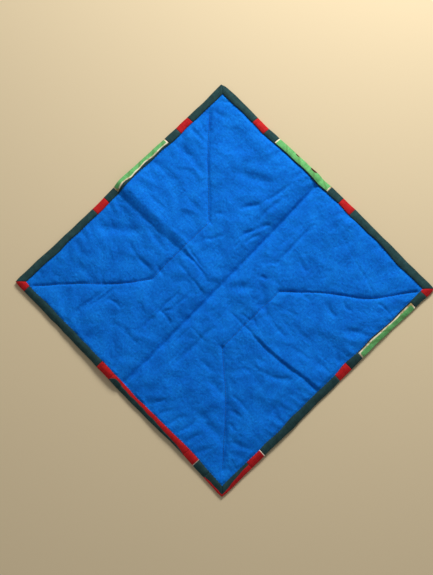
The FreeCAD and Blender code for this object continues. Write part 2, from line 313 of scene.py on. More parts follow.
def printOutline(tree, flat, woven, look):
    # The print's light outline. The attribute "edge" is how far in millimetres each point is
    # from the print's edge, so the outline keeps its width.
    edge = addNode(tree, "Attribute", {"attribute_name": "edge"}).outputs["Fac"]
    shake = addNode(tree, "TexNoise", {
        "Scale": 1 / (outlineDetail["shakeEveryMm"] * mm), "Detail": 3.0, "Vector": flat,
    })
    shaken = addNode(tree, "Math", {
        "operation": "MULTIPLY_ADD", 0: shake.outputs["Fac"], 1: 2 * look["wobbleMm"], 2: edge,
    })
    outlineEnd, blur = look["outlineMm"] + look["wobbleMm"], outlineDetail["blurMm"]
    inside = addNode(tree, "MapRange", {
        "From Min": outlineEnd - blur, "From Max": outlineEnd + blur, "Value": shaken.outputs[0],
    })
    stain = addNode(tree, "TexNoise", {
        "Scale": 1 / (outlineDetail["stainMm"] * mm), "Detail": 2.0, "Vector": flat,
    })
    outlineColour = addNode(tree, "ValToRGB", {0: stain.outputs["Fac"], "stops": [
        (0.5, hexColour(look["lightHex"])),
        (0.64, hexColour(look["darkHex"])),
    ]})
    return addNode(tree, "Mix", {
        **colourMix, 0: inside.outputs["Result"], 6: outlineColour.outputs["Color"], 7: woven,
    }).outputs[2]


def redCotton():
    # red cotton whose print ends in a hair-thin light line
    made, tree, flat, weave, woven = plainCotton("red cotton", "B5181C", "A61418", "C2201F")
    finishCloth(tree, printOutline(tree, flat, woven, redPrint), weave, bindingLook)
    return made


leafDetail = {
    "marginMm": 1.6,
    "marginHex": "1C3334",
    "marginBlurMm": 0.15,
    "veinEveryMm": 23,
    "veinHex": "557A3C",
    "berryHex": "3E0A0A",
    "berrySquash": 0.4,  # a berry is drawn out along the binding
    "berriesMm": [(137.5, 9.9, 1.4), (166, 9.7, 2.2)],  # along the rear side, round it, size
}


def leafGreenPrint():
    # cotton printed leaf green inside a hand-drawn cream outline, stained brown in places
    made, tree, flat, weave, woven = plainCotton(
        "leaf green printed cotton", "67B269", "5CA45F", "74C075"
    )
    # slanting veins, faint and uneven
    veins = addNode(tree, "TexWave", {
        **wavesEvery(leafDetail["veinEveryMm"], "DIAGONAL"), "Distortion": 5.0, "Detail": 1.0,
        "Vector": flat,
    })
    veinShare = addNode(tree, "ValToRGB", {
        0: veins.outputs["Fac"], "stops": [(0.84, greyColour(0)), (0.98, greyColour(0.45))],
    })
    woven = addNode(tree, "Mix", {
        **colourMix, 0: veinShare.outputs["Color"], 6: woven, 7: hexColour(leafDetail["veinHex"]),
    }).outputs[2]
    colour = printOutline(tree, flat, woven, leafPrint)
    # two berries on the rear side's outer fold
    squash = leafDetail["berrySquash"]
    longer = addNode(tree, "Mapping", {"Scale": (squash, 1, 1), "Vector": flat})
    for along, around, size in leafDetail["berriesMm"]:
        away = addNode(tree, "VectorMath", {
            "operation": "DISTANCE", 0: longer.outputs["Vector"],
            1: (squash * along * mm, around * mm, 0),
        })
        outside = addNode(tree, "MapRange", {
            "From Min": 0.8 * size * mm, "From Max": size * mm, "Value": away.outputs["Value"],
        })
        colour = addNode(tree, "Mix", {
            **colourMix, 0: outside.outputs["Result"], 6: hexColour(leafDetail["berryHex"]), 7: colour,
        }).outputs[2]
    # a bottle green margin along the inner edge
    around = addNode(tree, "SeparateXYZ", {"Vector": flat})
    margin, blur = leafDetail["marginMm"], leafDetail["marginBlurMm"]
    pastMargin = addNode(tree, "MapRange", {
        "From Min": (margin - blur) * mm, "From Max": (margin + blur) * mm,
        "Value": around.outputs["Y"],
    })
    colour = addNode(tree, "Mix", {
        **colourMix, 0: pastMargin.outputs["Result"], 6: hexColour(leafDetail["marginHex"]), 7: colour,
    }).outputs[2]
    finishCloth(tree, colour, weave, bindingLook)
    return made


threadLook = {"twistMm": 1.0, "roughness": 0.6, "ior": 1.5, "specular": 0.3, "sheen": 0.1, "bumpMm": 0.05}


def spunThread(name, midHex, lightHex):
    # Spun sewing thread: a slight gloss on its twist, which runs round it every 0.5 mm and is
    # drawn every 1 mm, because the thread is drawn twice as thick.
    made, tree = newMaterial(name)
    flat = addNode(tree, "Attribute", {"attribute_name": "cloth"}).outputs["Vector"]
    twist = addNode(tree, "TexWave", {
        **wavesEvery(threadLook["twistMm"], "DIAGONAL"), "Distortion": 1.0, "Detail": 0.0,
        "Vector": flat,
    })
    colour = addNode(tree, "ValToRGB", {
        0: twist.outputs["Fac"], "stops": [(0.2, hexColour(midHex)), (0.9, hexColour(lightHex))],
    })
    look = {**threadLook, "sheenHex": lightHex}
    finishCloth(tree, colour.outputs["Color"], twist.outputs["Fac"], look)
    return made


waddingLook = {
    "fibreMm": 1.2,
    "shadeHex": "D8D2C2",
    "lightHex": "F5F2E8",
    "roughness": 1.0,
    "ior": 1.5,
    "specular": 0.1,
    "sheen": 0.2,
    "sheenHex": "FFFFFF",
    "bumpMm": 0.5,
}


def bondedWadding():
    # loose bonded fibre: off white, soft and unevenly dense
    made, tree = newMaterial("bonded wadding")
    flat = addNode(tree, "Attribute", {"attribute_name": "cloth"}).outputs["Vector"]
    fibres = addNode(tree, "TexNoise", {
        "Scale": 1 / (waddingLook["fibreMm"] * mm), "Detail": 6.0, "Roughness": 0.8,
        "Distortion": 1.5, "Vector": flat,
    })
    colour = addNode(tree, "ValToRGB", {0: fibres.outputs["Fac"], "stops": [
        (0.3, hexColour(waddingLook["shadeHex"])),
        (0.7, hexColour(waddingLook["lightHex"])),
    ]})
    finishCloth(tree, colour.outputs["Color"], fibres.outputs["Fac"], waddingLook)
    return made


materials = {
    "blue_cotton": washedBlueCotton(),
    "bottle_green_cotton": bottleGreenCotton(),
    "red_cotton": redCotton(),
    "leaf_green_cotton": leafGreenPrint(),
    "wadding": bondedWadding(),
    "quilting_thread": spunThread("blue spun thread", "072E66", "124A92"),
    "binding_thread": spunThread("dark green spun thread", "10201F", "27403C"),
}
print("materials made")


def crumple(x, y, size, seed, waves=26):
    # a smooth random field, mostly between -1.5 and 1.5, whose humps are about size across
    dice = np.random.default_rng(seed)
    total = np.zeros_like(x)
    for _ in range(waves):
        heading = dice.uniform(0, 2 * math.pi)
        step = math.pi / size * dice.uniform(0.6, 1.5)
        phase = dice.uniform(0, 2 * math.pi)
        total += np.cos(step * (x * math.cos(heading) + y * math.sin(heading)) + phase)
    return total / math.sqrt(waves)


def smoothStep(low, high, value):
    t = np.clip((value - low) / (high - low), 0, 1)
    return t * t * (3 - 2 * t)


def awayFromLine(x, y, start, end):
    # Distance to a line, signed by its side, how far along the stretch from start to end it is,
    # from 0 to 1, and how far past that stretch's ends.
    (x0, y0), (x1, y1) = start, end
    length = math.hypot(x1 - x0, y1 - y0)
    ux, uy = (x1 - x0) / length, (y1 - y0) / length
    along = ((x - x0) * ux + (y - y0) * uy) / length
    aside = (y - y0) * ux - (x - x0) * uy
    past = np.maximum(np.maximum(-along, along - 1), 0) * length
    return aside, along, past


# The mat was folded in half on the valley, then in four. The second fold stands up as a broad
# ridge in the left half and as a narrow welt beside a sharp crease in the right half.
folds = {
    "valleyPath": [(-9.5, 190), (-6.5, 150), (-2.8, 60), (-0.6, -18), (1.2, -90), (2.6, -190)],
    "valleyDepth": 4.3,
    "valleySlope": 17,
    "valleyBank": 0.66,
    "valleyLip": 3.4,
    "valleyWidthRight": 4.6,
    "shoulderLift": [(-190, 5.2), (0, 4.8), (120, 5.8), (190, 6.2)],
    "shoulderLiftRight": 1.0,
    "shoulderWidth": 10,
    "shoulderFade": 70,
    "ridgePath": [(-190, 1.0), (-110, 2.6), (-80, 2.6), (-60, 0), (-45, -3), (-14, -7)],
    "ridgeLift": [(-190, 7.6), (-110, 7.4), (-80, 6.4), (-55, 4.6), (-30, 3.0), (-14, 1.2), (-6, 0)],
    "ridgeWidthRear": 24,
    "ridgeRoundRear": 1.6,
    "ridgeRoundFront": 1.35,
    "ridgeWidthFront": [(-190, 13.5), (-110, 14), (-80, 11.5), (-55, 7.5), (-20, 4)],
    "creasePath": [(60, -19), (80, -18), (100, -17.8), (120, -16), (140, -13), (160, -10), (190, -6)],
    "creaseDepth": 1.6,
    "creaseWidth": 3.4,
    "creaseRound": 1.3,
    "creaseBegins": (66, 86),  # along the crease, from nothing to its full depth
    "weltLift": 2.6,
    "weltRise": 3.2,
    "weltFall": 12,
    "swell": 0.8,  # low swells where no fold lifts the mat
    "swellSize": 58,
    "swellUnderLift": 6,
}


def alongPath(at, path):
    path = sorted(path)
    return np.interp(at, [p[0] for p in path], [p[1] for p in path])


def valleyAside(x, y):
    return x - alongPath(y, [(p[1], p[0]) for p in folds["valleyPath"]])


def liftAt(x, y):
    # how far the whole mat stands off the floor
    valley = valleyAside(x, y)
    apart = np.abs(valley)
    lift = np.where(valley < 0, alongPath(y, folds["shoulderLift"]), folds["shoulderLiftRight"])
    lift = lift * (1 - np.exp(-apart / folds["shoulderWidth"]))
    lift = lift * np.exp(-apart / folds["shoulderFade"])
    ridge = y - alongPath(x, folds["ridgePath"])
    rear = np.exp(-((np.maximum(ridge, 0) / folds["ridgeWidthRear"]) ** folds["ridgeRoundRear"]))
    outOf = np.clip(-ridge / alongPath(x, folds["ridgeWidthFront"]), 0, 1)
    front = 1 - outOf ** folds["ridgeRoundFront"]
    lift = np.maximum(lift, alongPath(x, folds["ridgeLift"]) * np.where(ridge > 0, rear, front))
    humps = np.clip(crumple(x, y, folds["swellSize"], 11) + 0.3, 0, 1.4)
    return lift + folds["swell"] * humps * np.clip(1 - lift / folds["swellUnderLift"], 0, 1)


def creaseShape(x, y):
    # the sharp crease and the welt on its rear side
    aside = y - alongPath(x, folds["creasePath"])
    rounded = folds["creaseRound"]
    groove = folds["creaseDepth"] * np.exp(-((np.abs(aside) / folds["creaseWidth"]) ** rounded))
    rise = smoothStep(0, folds["weltRise"], aside)
    fall = np.exp(-((np.maximum(aside - folds["weltRise"], 0) / folds["weltFall"]) ** rounded))
    return (folds["weltLift"] * rise * fall - groove) * smoothStep(*folds["creaseBegins"], x)


# How the real mat differs from the true square, in millimetres: where its corners are, how far
# out each side runs at even steps from its left or front end, how the tips are pulled in, and
# where the middle of each quarter has stretched.
outline = {
    "rearLeft": (-3.9, -3.2),
    "rearRight": (4.6, -1.4),
    "frontRight": (-0.4, 2.4),
    "frontLeft": (-0.6, 2.1),
    "rearOut": [3.4, 3.9, 2.6, 4.0, 5.0, 5.6, 5.6, 6.0, 5.0, 4.4],
    "rightOut": [2.0, 1.2, 0.7, 1.2, 0.4, 0.2, -0.8, -2.0, -1.2, 0.6],
    "frontOut": [0.2, 0.0, -0.4, -0.2, 0.0, 0.4, 0.0, -1.6, -0.4, 0.8],
    "leftOut": [0.8, 0.2, -1.1, -1.4, -0.4, 0.8, 0.2, -0.8, -1.2, 0.0],
    "outReach": 80,
    "waver": 0.22,
    "waverSize": 14,
    "tips": {(-1, 1): (0.4, 2.2), (1, 1): (0.8, 0.8), (1, -1): (0.8, 0.8), (-1, -1): (0.8, 0.8)},
    "tipReach": 5.0,
    "stretched": [
        ((136, 132), (6.4, -6.2), 42),
        ((108, -108), (3.6, 3.6), 60),
        ((-98, -90), (4.0, -3.4), 42),
        ((-120, 98), (-0.9, -0.9), 60),
    ],
}


def outwards(at, values):
    return np.interp(at, np.linspace(-halfSide, halfSide, len(values)), values)


def warpAt(x, y):
    # sideways shift of every piece, from the mat's flat square to how it lies
    u, v = (x / halfSide + 1) / 2, (y / halfSide + 1) / 2
    weights = {
        "rearLeft": (1 - u) * v,
        "rearRight": u * v,
        "frontRight": u * (1 - v),
        "frontLeft": (1 - u) * (1 - v),
    }
    dx = sum(weight * outline[corner][0] for corner, weight in weights.items())
    dy = sum(weight * outline[corner][1] for corner, weight in weights.items())
    inner = halfSide - outline["outReach"]
    dx = dx + smoothStep(inner, halfSide, x) * outwards(y, outline["rightOut"])
    dx = dx - smoothStep(inner, halfSide, -x) * outwards(y, outline["leftOut"])
    dy = dy + smoothStep(inner, halfSide, y) * outwards(x, outline["rearOut"])
    dy = dy - smoothStep(inner, halfSide, -y) * outwards(x, outline["frontOut"])
    dx = dx + outline["waver"] * crumple(x, y, outline["waverSize"], 21)
    dy = dy + outline["waver"] * crumple(x, y, outline["waverSize"], 22)
    for (sx, sy), (pullX, pullY) in outline["tips"].items():
        away = np.hypot(x - sx * halfSide, y - sy * halfSide)
        near = np.exp(-((away / outline["tipReach"]) ** 2))
        dx, dy = dx - sx * pullX * near, dy - sy * pullY * near
    for (cx, cy), (moveX, moveY), reach in outline["stretched"]:
        near = np.exp(-(((x - cx) ** 2 + (y - cy) ** 2) / reach**2))
        dx, dy = dx + moveX * near, dy + moveY * near
    return dx, dy


def lay(points):
    # flat millimetres to metres as the mat lies
    x, y = points[:, 0], points[:, 1]
    dx, dy = warpAt(x, y)
    return np.stack([x + dx, y + dy, points[:, 2] + liftAt(x, y)], axis=1) * mm


# Wrinkles pressed into the blue cloth, in millimetres: start, end, half width and height, which
# is negative for a groove.
wrinkles = [
    # rear left quarter
    ((-176, 170), (-158, 182), 3.5, -0.9),
    ((-178, 152), (-146, 164), 4.0, -0.9),
    ((-99, 117), (-74, 127), 7.0, -1.2),
    ((-80, 124), (-46, 139), 7.0, -1.2),
    ((-30, 160), (-40, 112), 3.2, -1.4),
    ((-40, 114), (-54, 86), 3.6, -1.7),
    ((-27, 142), (-27, 94), 3.0, -1.1),
    ((-13, 102), (-21, 84), 2.6, -1.3),
    ((-21, 88), (-28, 60), 2.4, -1.5),
    ((-13, 82), (-20, 58), 2.4, -1.4),
    ((-42, 50), (-61, 22), 3.2, -1.2),
    ((-65, 71), (-72, 57), 3.0, -0.7),
    ((-179, 134), (-147, 126), 2.6, -0.8),
    ((-179, 117), (-144, 121), 2.6, -0.9),
    ((-172, 90), (-146, 94), 6.0, -1.5),
    ((-152, 95), (-116, 86), 5.0, -1.3),
    ((-178, 53), (-134, 56), 8.0, -1.8),
    ((-134, 80), (-112, 75), 5.0, -0.9),
    ((-120, 52), (-84, 47), 5.0, -1.0),
    ((-150, 152), (-156, 122), 5.0, -0.8),
    ((-112, 34), (-84, 45), 5.0, 0.9),
    ((-178, 22), (-150, 34), 5.0, 0.9),
    ((-150, 17), (-118, 15), 3.0, -0.7),
    ((-166, 164), (-30, 166), 9.0, 0.9),
    ((-68, -2), (-17, -9), 2.2, -1.3),
    ((-70, 5), (-26, -3), 2.4, -1.0),
    ((-98, 4), (-62, 7), 2.6, 0.8),
    # rear right quarter
    ((26, 142), (27, 66), 2.8, -1.3),
    ((15, 112), (14, 86), 2.6, -0.5),
    ((22, 58), (31, 70), 2.4, 0.7),
    ((-4, 86), (16, 66), 3.0, 0.8),
    ((54, 155), (92, 146), 1.7, -0.5),
    ((90, 146), (142, 136), 1.7, -0.6),
    ((146, 134), (178, 129), 1.6, -0.8),
    ((16, 166), (78, 167), 9.0, 1.2),
    ((72, 168), (160, 167), 9.0, 0.9),
    ((42, 96), (64, 91), 3.5, -0.9),
    ((106, 81), (130, 75), 4.0, -1.2),
    ((119, 99), (136, 97), 3.5, -1.0),
    ((76, 68), (94, 66), 3.0, -0.7),
    ((146, 72), (174, 88), 5.5, -1.2),
    ((150, 62), (174, 76), 4.0, 0.7),
    ((154, 47), (180, 33), 4.0, -1.0),
    ((76, 36), (102, 42), 3.0, -0.7),
    ((26, 47), (34, 43), 4.0, -1.9),
    ((31, 42), (62, 14), 6.0, -2.4),
    ((8, 4), (32, 28), 7.0, -2.0),
    ((40, 20), (80, 12), 4.5, -1.2),
    ((76, 13), (108, 9), 3.0, -0.8),
    ((98, 28), (132, 30), 3.5, -0.6),
    ((112, 6), (150, 14), 3.0, -0.6),
    ((138, 20), (176, 16), 4.0, -0.6),
    ((84, 24), (112, 20), 2.6, -0.5),
    # front left quarter
    ((-166, -64), (-126, -26), 8.0, -1.9),
    ((-128, -47), (-102, -50), 3.5, -0.8),
    ((-106, -50), (-76, -53), 3.5, -1.1),
    ((-122, -17), (-78, -21), 4.0, -0.9),
    ((-62, -18), (-36, -24), 2.6, -0.8),
    ((-34, -23), (-6, -25), 2.8, -1.0),
    ((-84, -41), (-58, -45), 3.6, -0.9),
    ((-21, -66), (-28, -82), 2.4, -1.1),
    ((-36, -79), (-8, -83), 2.4, -0.9),
    ((-32, -90), (-31, -112), 2.8, -1.3),
    ((-92, -116), (-70, -112), 3.0, -1.0),
    ((-103, -124), (-104, -180), 2.8, -0.5),
    ((-130, -134), (-131, -166), 2.4, -0.5),
    ((-92, -104), (-93, -132), 5.0, -0.8),
    ((-128, -96), (-108, -109), 4.0, -0.9),
    ((-154, -116), (-114, -113), 6.0, -0.9),
    ((-176, -144), (-142, -146), 6.0, -0.9),
    ((-178, -98), (-152, -101), 5.0, -0.8),
    ((-142, -70), (-118, -84), 5.0, -0.7),
    ((-66, -138), (-40, -128), 4.0, -0.6),
    ((-44, -128), (-20, -134), 3.5, -0.6),
    ((-60, -90), (-44, -98), 3.5, -0.6),
    ((-22, -34), (-21, -70), 2.2, -1.0),
    ((-33, -44), (-31, -88), 2.2, -1.1),
    ((-98, -84), (-99, -150), 2.4, -1.2),
    ((-104, -94), (-106, -168), 2.4, -1.0),
    # front right quarter
    ((28, -19), (54, -16), 2.0, -0.7),
    ((52, -16), (80, -18), 1.8, -0.9),
    ((42, -10), (60, -4), 2.0, -0.8),
    ((54, -2), (73, -6), 2.0, -0.9),
    ((26, -4), (27, -44), 2.4, -0.5),
    ((31, -44), (30, -84), 3.6, -1.3),
    ((30, -76), (29, -122), 3.6, -1.4),
    ((10, -68), (40, -68), 2.4, -0.6),
    ((44, -89), (68, -91), 4.0, -1.0),
    ((70, -98), (102, -104), 7.0, -1.5),
    ((102, -93), (138, -94), 3.0, -0.8),
    ((128, -121), (142, -124), 3.0, -1.0),
    ((116, -111), (136, -104), 3.0, -0.7),
    ((118, -44), (148, -22), 4.5, -1.1),
    ((100, -45), (124, -41), 3.0, -0.6),
    ((90, -60), (104, -55), 4.0, -0.8),
    ((92, -38), (110, -31), 4.0, -0.7),
    ((84, -140), (118, -143), 7.0, -1.4),
    ((108, -142), (150, -143), 7.0, -1.6),
    ((60, -179), (69, -156), 3.0, -0.7),
    ((76, -180), (86, -152), 3.2, -0.9),
    ((93, -180), (100, -148), 3.4, -1.0),
    ((109, -180), (116, -152), 3.4, -1.1),
    ((127, -180), (137, -156), 4.0, -0.9),
    ((42, -178), (54, -156), 3.0, -0.6),
    ((148, -136), (180, -119), 4.0, -1.0),
    ((162, -150), (181, -153), 3.0, -0.8),
    ((166, -84), (179, -102), 4.0, -0.8),
    ((148, -66), (176, -72), 5.0, -0.9),
    ((12, -60), (10, -106), 2.0, -0.8),
    ((21, -86), (23, -128), 2.4, -0.8),
    ((4, -148), (18, -163), 1.8, 0.5),
    ((4, -152), (4, -181), 2.4, -0.6),
    ((13, -156), (13, -181), 2.4, -0.5),
]

quilting = {
    "grooveDepth": 2.7,
    "grooveWidth": 4.6,
    "nickDepth": 1.5,
    "nickWidth": 1.25,
    # of the depth, for each line's rear, middle and front stretch
    "shares": {"left": (1.45, 0.46, 0.9), "right": (0.9, 0.46, 1.35)},
    "pucker": 0.05,
    "puckerMm": 3 * 2.7,
}


def quiltDent(x, y):
    # how deep the quilting pulls the cloth down
    deepest = np.zeros_like(x)
    for side, line in quiltLines.items():
        for number, (start, end) in enumerate(zip(line[:-1], line[1:])):
            aside, along, past = awayFromLine(x, y, start, end)
            away = np.hypot(np.where(past > 0, past, 0), aside)
            depth = quilting["shares"][side][number]
            span = math.hypot(*(end - start))
            pucker = 1 + quilting["pucker"] * np.cos(2 * math.pi * along * span / quilting["puckerMm"])
            soft = quilting["grooveDepth"] * np.exp(-away / quilting["grooveWidth"]) * pucker
            nick = quilting["nickDepth"] * np.exp(-((away / quilting["nickWidth"]) ** 2))
            deepest = np.maximum(deepest, depth * (soft + nick))
    return deepest


# beside the binding the blue cloth dips: how deep, how wide, and how far in the padding is full
besideBinding = {
    "rear": {"dip": 1.5, "dipWidth": 4.5, "fullAt": 9},
    "right": {"dip": 1.2, "dipWidth": 4.0, "fullAt": 16},
    "front": {"dip": 0.9, "dipWidth": 2.5, "fullAt": 38},
    "left": {"dip": 1.3, "dipWidth": 4.5, "fullAt": 14},
}
loft = {
    "hiddenRim": 2.1,  # height of the rim, inside the binding
    "thinnest": 1.9,
    "puff": 1.5,  # how far the padding lifts the cloth
    "puffSize": 40,
    "puffShare": 0.4,  # of the puff that is uneven
    "fine": 0.16,  # crinkles all over
    "fineSize": 6.5,
    "creased": 0.35,  # sharper crinkles round the middle, where the two folds cross
    "creasedSize": 8,
    "creasedReach": 75,
    "wrinkleShare": 1.6,  # of the listed height
    "wrinkleWidth": 0.85,  # of the listed half width
    "wrinkleBend": 0.9,
    "edgePucker": 0.85,
    "edgePuckerSize": 6.5,
    "edgePuckerReach": 13,
    "edgePuckerSlant": 0.25,
}


def fromEdge(x, y):
    return halfSide - np.maximum(np.abs(x), np.abs(y))


def edgePuckers(x, y):
    # short folds that run in from the binding, where the cloth was eased to fit it
    inset = fromEdge(x, y) - bindingAbove
    sideways = np.abs(x) > np.abs(y)
    along = np.where(sideways, y, x) + loft["edgePuckerSlant"] * inset
    waves = crumple(along, 0.3 * inset, loft["edgePuckerSize"], 33)
    return loft["edgePucker"] * waves * np.exp(-np.maximum(inset, 0) / loft["edgePuckerReach"])


def backHeight(x, y):
    # the blue cloth's height above the mat's underside
    insets = {
        "rear": halfSide - y,
        "right": halfSide - x,
        "front": halfSide + y,
        "left": halfSide + x,
    }
    dip, inside, rise = 0 * x, 0 * x + 1, 0 * x + 1
    for side, inset in insets.items():
        shape = besideBinding[side]
        free = smoothStep(bindingAbove - 0.5, bindingAbove + shape["dipWidth"], inset)
        dip = np.maximum(dip, shape["dip"] * (1 - free))
        rise = np.minimum(rise, free)
        inside *= smoothStep(bindingAbove, bindingAbove + shape["fullAt"], inset)
    height = matHeight - dip
    hidden = smoothStep(1.5, bindingAbove - 0.5, bindingAbove - fromEdge(x, y))
    height -= (height - loft["hiddenRim"]) * hidden
    share = loft["puffShare"]
    height += inside * loft["puff"] * (1 - share + share * crumple(x, y, loft["puffSize"], 31))
    crinkle = 0.5 - np.abs(crumple(x, y, loft["fineSize"], 32))
    middle = np.exp(-((x**2 + y**2) / loft["creasedReach"] ** 2))
    sharp = 0.5 - np.abs(crumple(x, 0.6 * y, loft["creasedSize"], 34))
    height += inside * (loft["fine"] * crinkle + loft["creased"] * middle * sharp)
    height += rise * edgePuckers(x, y)
    for start, end, width, tall in wrinkles:
        aside, along, past = awayFromLine(x, y, start, end)
        bend = loft["wrinkleBend"] * np.sin(along * math.pi * 1.7 + start[0])
        across = np.exp(-(((aside + bend) / (loft["wrinkleWidth"] * width)) ** 2))
        shape = across * np.sin(np.clip(along, 0, 1) * math.pi) ** 0.7
        height += rise * loft["wrinkleShare"] * tall * shape
    height -= rise * quiltDent(x, y)
    valley = valleyAside(x, y)
    left = folds["valleyBank"] * np.clip(1 + valley / folds["valleySlope"], 0, 1) ** 1.4
    left += (1 - folds["valleyBank"]) * np.clip(1 + valley / folds["valleyLip"], 0, 1)
    dent = np.where(valley < 0, left, np.exp(-np.abs(valley) / folds["valleyWidthRight"]))
    height += rise * (creaseShape(x, y) - folds["valleyDepth"] * dent)
    return np.maximum(height, loft["thinnest"])


panelEnds = [
    np.array([(panelLow[0], panelHigh[1]), (panelHigh[0], panelHigh[1])]),
    np.array([(panelLow[0], panelLow[1]), (panelHigh[0], panelLow[1])]),
]
underside = {
    "rest": 0.35,  # above the floor
    "uneven": 0.2,
    "unevenSize": 11,
    "seamUp": 0.85,
    "seamReach": 2.6,
    "rim": 1.15,  # height of the rim, inside the binding
}


def frontHeight(x, y):
    # the front's height above the floor: flat where the mat rests, pulled up at its seams
    rim = 1 - smoothStep(bindingBelow - 0.5, bindingBelow + 3.0, fromEdge(x, y))
    up = underside["rest"] + underside["uneven"] * np.abs(crumple(x, y, underside["unevenSize"], 41))
    for line in (*quiltLines.values(), *panelEnds):
        for start, end in zip(line[:-1], line[1:]):
            aside, along, past = awayFromLine(x, y, start, end)
            away = np.hypot(past, aside)
            up = np.maximum(up, underside["seamUp"] * np.exp(-away / underside["seamReach"]) + 0.1)
    return np.where(rim > 0, up + rim * (underside["rim"] - up), up)


def addMesh(name, vertices, faces, node, cloth=None, edge=None):
    # a mesh piece in metres that rides on the mat and stands for a CAD node
    mesh = bpy.data.meshes.new(name)
    mesh.from_pydata([tuple(v) for v in vertices], [], faces)
    mesh.validate()
    dressMesh(mesh, node, cloth, edge)
    piece = link(name, mesh)
    standFor(piece, node)
    return piece


def dressMesh(mesh, node, cloth=None, edge=None):
    # cloth and edge are the coordinates and the distances that the materials read
    for label, kind, key, values in (
        ("cloth", "FLOAT_VECTOR", "vector", cloth),
        ("edge", "FLOAT", "value", edge),
    ):
        if values is not None:
            layer = mesh.attributes.get(label) or mesh.attributes.new(label, kind, "POINT")
            layer.data.foreach_set(key, np.asarray(values, np.float32).ravel())
    mesh.materials.clear()
    mesh.materials.append(materials[slotOf[node]])
    mesh.polygons.foreach_set("use_smooth", [True] * len(mesh.polygons))
    mesh.update()


def standFor(piece, node):
    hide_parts(node)
    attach(piece, "root")


def gridFaces(rows, columns, flip=False):
    index = np.arange(rows * columns).reshape(rows, columns)
    quads = np.stack([index[:-1, :-1], index[:-1, 1:], index[1:, 1:], index[1:, :-1]], axis=-1)
    quads = quads.reshape(-1, 4)
    return (quads[:, ::-1] if flip else quads).tolist()


def closedFaces(rows, columns, flip=False):
    # two grids, one after the other, closed all round by a ring of walls
    size = rows * columns
    faces = gridFaces(rows, columns, flip=flip)
    faces += [[i + size for i in face] for face in gridFaces(rows, columns, flip=not flip)]
    ring = [*range(columns - 1), *range(columns - 1, size - 1, columns)]
    ring += [*range(size - 1, size - columns, -1), *range(size - columns, 0, -columns)]
    for first, second in zip(ring, ring[1:] + ring[:1]):
        wall = [first, first + size, second + size, second]
        faces.append(wall[::-1] if flip else wall)
    return faces


def read(data, key):
    # three numbers for each item, such as the vertices of a mesh
    values = np.empty(len(data) * 3, np.float32)
    data.foreach_get(key, values)
    return values.reshape(-1, 3).astype(float)


def link(name, data):
    made = bpy.data.objects.new(name, data)
    bpy.context.scene.collection.objects.link(made)
    return made


def applyModifier(piece, modifier):
    with bpy.context.temp_override(object=piece, active_object=piece):
        bpy.ops.object.modifier_apply(modifier=modifier.name)


# Both big cloths are simulated flat: a little too large for where they are sewn down, they
# buckle into the small puckers of a washed quilt.
simulation = {
    "cellMm": 2.6,
    "frames": 18,
    "firstMm": 0.25,  # unevenness that the puckers grow from
    "firstSize": 12,
    "spare": 0.018,  # share by which the cloth is too large
    "mass": 0.12,
    "tension": 12.0,
    "bending": 0.12,
    "sewnWithinMm": 1.6,
    "slipMm": 0.6,  # how far a point may move sideways
    "capMm": 1.5,  # no pucker is taller
    "upShare": 0.7,  # of each pucker's height, as batting inside holds it back
    "downShare": 0.6,
}


def sewnDown(x, y, lines, halfWidth):
    sewn = fromEdge(x, y) < halfSide - halfWidth
    for line in lines:
        for start, end in zip(line[:-1], line[1:]):
            aside, along, past = awayFromLine(x, y, start, end)
            sewn |= np.hypot(past, aside) < simulation["sewnWithinMm"]
    return sewn


def puckeredSheet(name, node, halfWidth, lines, seed):
    # a flat grid in metres, puckered by cloth simulation between the places where it is sewn
    count = int(2 * rimHalf / simulation["cellMm"]) + 1
    steps = np.linspace(-rimHalf, rimHalf, count)
    x, y = (axis.ravel() for axis in np.meshgrid(steps, steps))
    start = simulation["firstMm"] * crumple(x, y, simulation["firstSize"], seed)
    sewn = sewnDown(x, y, lines, halfWidth)
    start[sewn] = 0
    mesh = bpy.data.meshes.new(name)
    mesh.from_pydata((np.stack([x, y, start], axis=1) * mm).tolist(), [], gridFaces(count, count))
    dressMesh(mesh, node, cloth=np.stack([x, y, np.zeros_like(x)], axis=1) * mm)
    piece = link(name, mesh)
    held = piece.vertex_groups.new(name="sewn")
    held.add(np.nonzero(sewn)[0].tolist(), 1.0, "REPLACE")
    cloth = piece.modifiers.new("puckers", "CLOTH")
    cloth.settings.vertex_group_mass = "sewn"
    cloth.settings.quality = 5
    cloth.settings.mass = simulation["mass"]
    cloth.settings.tension_stiffness = simulation["tension"]
    cloth.settings.compression_stiffness = simulation["tension"]
    cloth.settings.shear_stiffness = simulation["tension"] / 2
    cloth.settings.bending_stiffness = simulation["bending"]
    cloth.settings.shrink_min = -simulation["spare"]
    cloth.settings.effector_weights.gravity = 0
    cloth.point_cache.frame_start = 1
    cloth.point_cache.frame_end = simulation["frames"]
    scene = bpy.context.scene
    for number in range(1, simulation["frames"] + 1):
        scene.frame_set(number)
    applyModifier(piece, cloth)
    scene.frame_set(1)
    shaped = read(mesh.vertices, "co") / mm
    slip = simulation["slipMm"]
    shaped[:, 0] = x + np.clip(shaped[:, 0] - x, -slip, slip)
    shaped[:, 1] = y + np.clip(shaped[:, 1] - y, -slip, slip)
    tall = shaped[:, 2] * np.where(shaped[:, 2] > 0, simulation["upShare"], simulation["downShare"])
    shaped[:, 2] = simulation["capMm"] * np.tanh(tall / simulation["capMm"])
    print(name, "puckers from", round(shaped[:, 2].min(), 2), "to", round(shaped[:, 2].max(), 2), "mm")
    mesh.vertices.foreach_set("co", (shaped * mm).astype(np.float32).ravel())
    finer = piece.modifiers.new("finer", "SUBSURF")
    finer.levels = finer.render_levels = 1
    applyModifier(piece, finer)
    return piece


